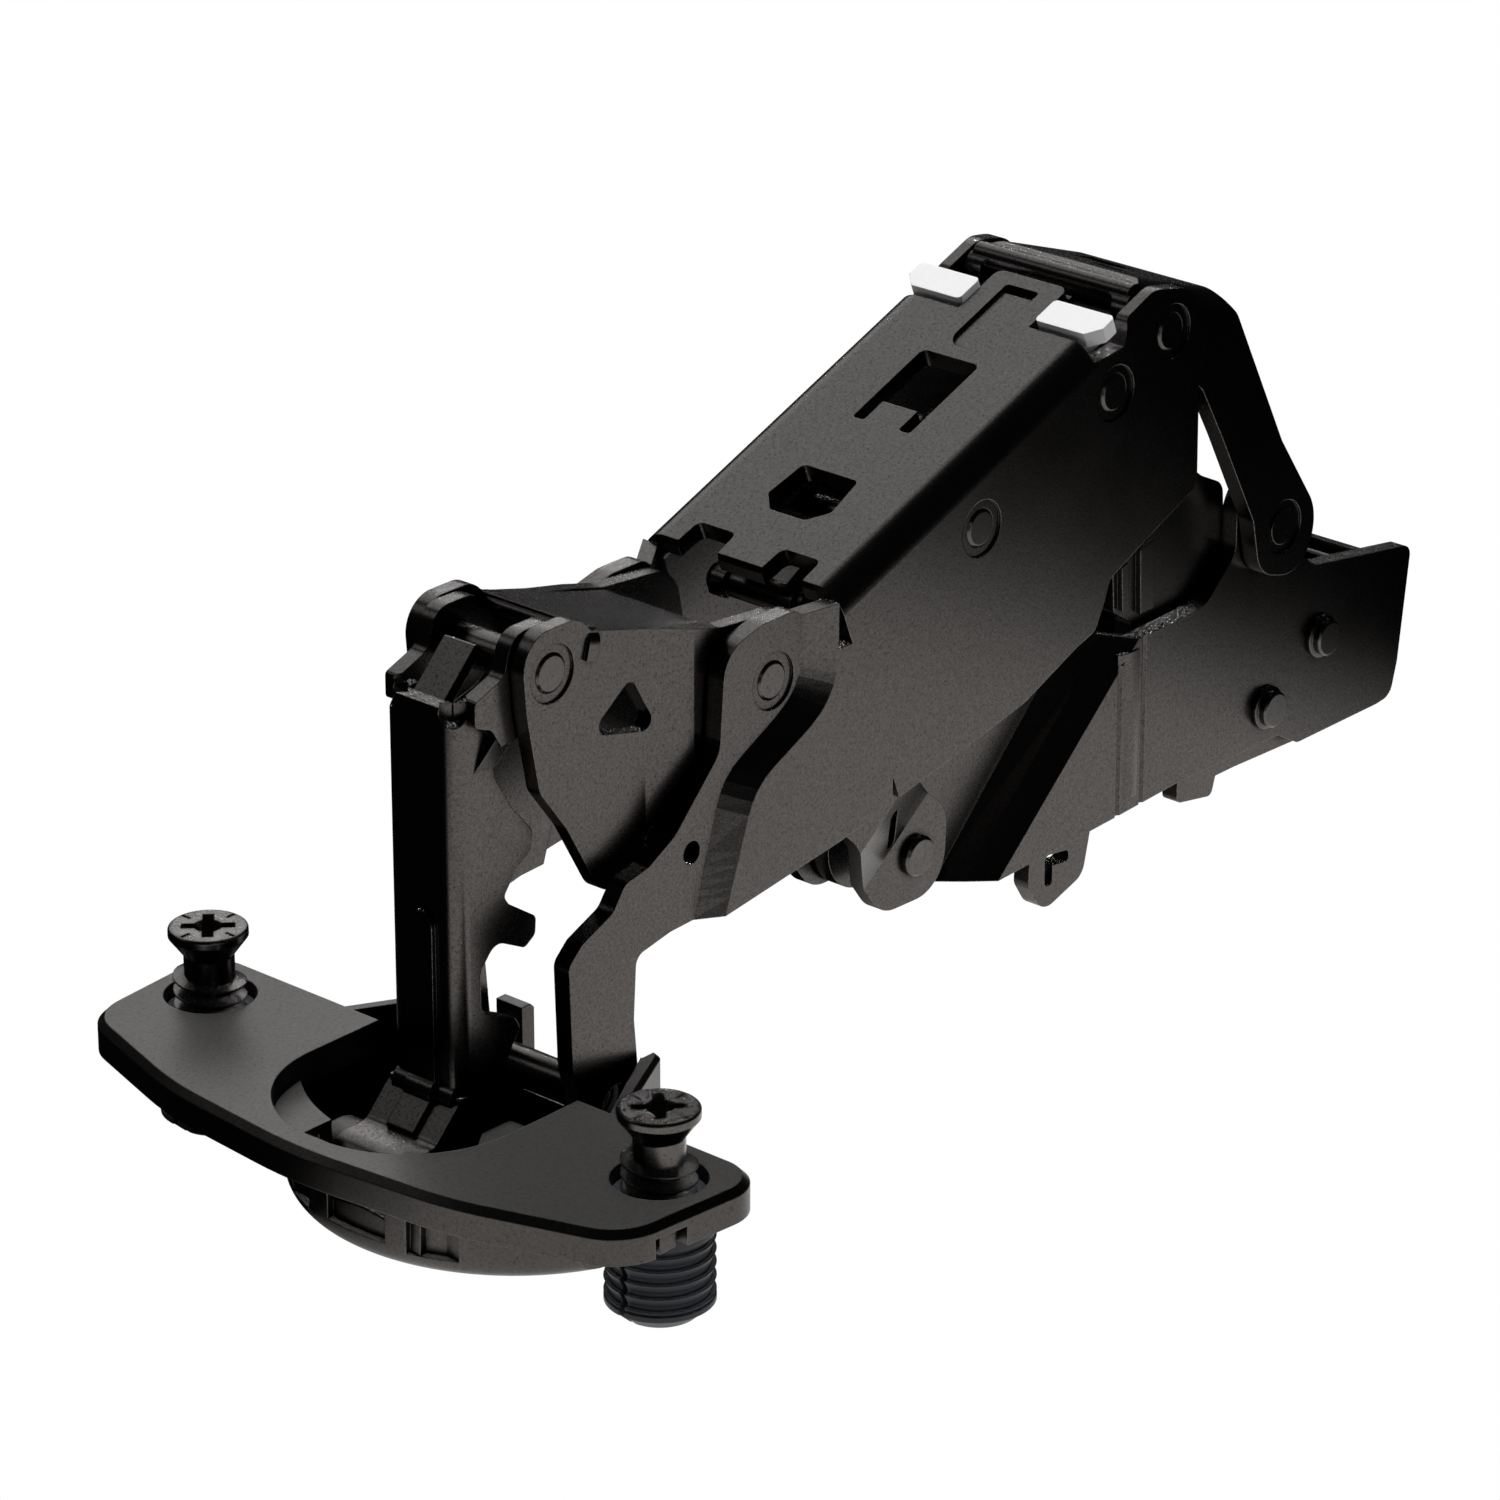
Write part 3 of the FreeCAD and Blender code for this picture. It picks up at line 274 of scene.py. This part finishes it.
def screw_thread(name, screw):
    """Coarse thread wound down the screw's shank, four points to each section."""
    root, crest, pitch, neck = 1.55 * mm, 2.75 * mm, 1.1 * mm, 3.6 * mm
    foot_half, tip_half = 0.32 * mm, 0.07 * mm
    turns, steps = 5.5, 34
    run_in, run_out = 0.3 * steps, 0.5 * steps
    low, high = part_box(screw)
    centre = Vector(((low[0] + high[0]) / 2, (low[1] + high[1]) / 2, 0.0))
    top = high[2] - neck
    count = int(turns * steps)
    points, faces = [], []
    for i in range(count + 1):
        angle = 2 * math.pi * i / steps
        z = top - pitch * i / steps
        fade = min(1.0, i / run_in, (count - i) / run_out)
        tip = root + (crest - root) * fade
        out = Vector((math.cos(angle), math.sin(angle), 0.0))
        for radius, rise in ((root, foot_half), (tip, tip_half),
                             (tip, -tip_half), (root, -foot_half)):
            points.append(centre + out * radius + Vector((0.0, 0.0, z + rise)))
    for i in range(count):
        a, b = 4 * i, 4 * (i + 1)
        for k in range(4):
            m = (k + 1) % 4
            faces.append((a + k, b + k, b + m, a + m))
    last = 4 * count
    faces += [(0, 1, 2, 3), (last + 3, last + 2, last + 1, last)]
    mesh = bpy.data.meshes.new(name)
    mesh.from_pydata(points, [], faces)
    mesh.update()
    mesh.materials.append(screw_coat)
    thread = bpy.data.objects.new(name, mesh)
    bpy.context.scene.collection.objects.link(thread)
    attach(thread, "cup")


for side in ("left", "right"):
    screw_thread("screw_thread_" + side, "flange_screw_" + side)


# Levers: stamped and bent from steel sheet, then coated black, and joined by
# steel pins. The grain is that of rolled sheet, and the brighter edges are a painted highlight.
sheet_coat = black_coat("sheet_steel_black", dark=(0.056, 0.052, 0.050),
                        light=(0.132, 0.125, 0.121), rough=0.25, grain_mm=0.12,
                        grain_depth_mm=0.014, edge_mm=0.09)
coat(sheet_coat, "front_lever", "crossing_lever", "long_lever")
coat(pin_coat, "front_pivot_pin", "crossing_pin", "spring_pin", "guide_pin", "link_pin")


# Closing unit inside the long lever: a bent lever, a ball-ended rod and two
# wound springs that pull the door shut.
coat(sheet_coat, "pressure_lever")
coat(pin_coat, "spring_rod", "closing_spring_left", "closing_spring_right")


# Glide pads: white acetal blocks clipped into the rear corners of the long
# lever, where the rear link's roll presses against them.
pad_plastic = moulded_plastic("pad_acetal_white", dark=(0.86, 0.86, 0.87),
                              light=(0.93, 0.93, 0.94), rough=0.42, grain_mm=0.5,
                              grain_depth_mm=0.010)
coat(pad_plastic, "glide_pad_left", "glide_pad_right")


# Rear link and base arm: the link ties the long lever to the base, two thick
# plates riveted over a bent channel that clips to the cabinet's plate.
coat(sheet_coat, "rear_link", "base_arm", "base_channel", "stop_tab", "release_clip")
coat(pin_coat, "link_stub_left", "link_stub_right", "base_rivet_rear", "base_rivet_front",
     "nose_pin")


# Floor: a sheet just under the dowels, clear to the camera, that bounces soft
# light up. Shiny metal sees it dark, with one bright card on the near side.
floor_gap = 0.2 * mm
floor_level = cad_box[0][2] - floor_gap


def studio_floor():
    """The floor, with soft edges to the card given as gains for each metre."""
    reach = 1.5
    card_left, card_right, card_back = -0.13, 0.124, 0.008
    left_gain, right_gain, back_gain = 18.0, 40.0, 80.0
    card_colour, card_glow, floor_glow = (1.0, 0.98, 0.96, 1.0), 1.03, 0.006
    paper_grey = (0.55, 0.55, 0.55, 1.0)
    mesh = bpy.data.meshes.new("studio_floor")
    corners = ((-reach, -reach), (reach, -reach), (reach, reach), (-reach, reach))
    mesh.from_pydata([(x, y, floor_level) for x, y in corners], [], [(0, 1, 2, 3)])
    floor = bpy.data.objects.new("studio_floor", mesh)
    bpy.context.scene.collection.objects.link(floor)
    material, start, place = finish("pale_floor")
    seen = start.node("ShaderNodeLightPath", out="Is Camera Ray")
    shiny = start.node("ShaderNodeLightPath", out="Is Glossy Ray")
    x = start.node("ShaderNodeSeparateXYZ", None, {"Vector": place}, out="X")
    y = start.node("ShaderNodeSeparateXYZ", None, {"Vector": place}, out="Y")
    left_edge = ((x - card_left) * left_gain).held()
    right_edge = ((card_right - x) * right_gain).held()
    back_edge = ((card_back - y) * back_gain).held()
    card = right_edge * left_edge * back_edge
    clear = start.node("ShaderNodeBsdfTransparent")
    paper = start.node("ShaderNodeBsdfDiffuse", None, {"Color": paper_grey})
    faint = start.node("ShaderNodeEmission", None, {"Color": card_colour, "Strength": floor_glow})
    bright = start.node("ShaderNodeEmission", None, {"Color": card_colour, "Strength": card_glow})
    glow = start.node("ShaderNodeMixShader", None, {0: card, 1: faint, 2: bright})
    unseen = start.node("ShaderNodeMixShader", None, {0: shiny, 1: paper, 2: glow})
    surface = start.node("ShaderNodeMixShader", None, {0: seen, 1: unseen, 2: clear})
    start.node("ShaderNodeOutputMaterial", None, {"Surface": surface})
    mesh.materials.append(material)


studio_floor()


# Light: soft panels aimed at the middle of the hinge, with a dim room round
# them. The level panel gives flat tops their sheen and casts no shadow. The
# overhead panel lights only what isn't shiny.
hinge_middle = Vector((0.035, 0.0, 0.02))


def soft_panel(name, toward, distance, width, height, watts):
    """A lit panel out from the middle of the hinge, facing back at it."""
    panel = bpy.data.lights.new(name, "AREA")
    panel.shape = "RECTANGLE"
    panel.size = width
    panel.size_y = height
    panel.energy = watts
    stand = bpy.data.objects.new(name, panel)
    stand.location = hinge_middle + Vector(toward).normalized() * distance
    stand.rotation_euler = (hinge_middle - stand.location).to_track_quat("-Z", "Y").to_euler()
    bpy.context.scene.collection.objects.link(stand)
    return stand


soft_panel("back_panel", toward=(0.45, 0.62, 0.62), distance=0.9,
           width=0.9, height=0.7, watts=2.3)
soft_panel("front_strip", toward=(-0.50, -0.86, 0.12), distance=0.8,
           width=0.06, height=0.5, watts=0.10)
mirrored_lens = lens_forward * Vector((1.0, 1.0, -1.0))
level = soft_panel("level_panel", toward=mirrored_lens, distance=0.9,
                   width=0.45, height=0.35, watts=0.34)
level.data.use_shadow = False
level.data.cycles.use_multiple_importance_sampling = False
soft_panel("corner_panel", toward=(-0.40, 0.61, 0.69), distance=0.9,
           width=0.25, height=0.25, watts=0.14)
overhead = soft_panel("overhead_panel", toward=(0.20, -0.05, 0.95), distance=0.9,
                      width=0.7, height=0.7, watts=9.0)
overhead.visible_glossy = False

white, room_glow = (1.0, 1.0, 1.0, 1.0), 0.012
world = bpy.data.worlds.new("studio_air")
world.use_nodes = True
world.node_tree.nodes.clear()
bpy.context.scene.world = world
air = Wire(world.node_tree)
seen = air.node("ShaderNodeLightPath", out="Is Camera Ray")
backdrop = air.node("ShaderNodeBackground", None, {"Color": white, "Strength": 1.0})
dim_room = air.node("ShaderNodeBackground", None, {"Color": white, "Strength": room_glow})
both = air.node("ShaderNodeMixShader", None, {0: seen, 1: dim_room, 2: backdrop})
air.node("ShaderNodeOutputWorld", None, {"Surface": both})
bpy.context.scene.view_settings.view_transform = "Standard"
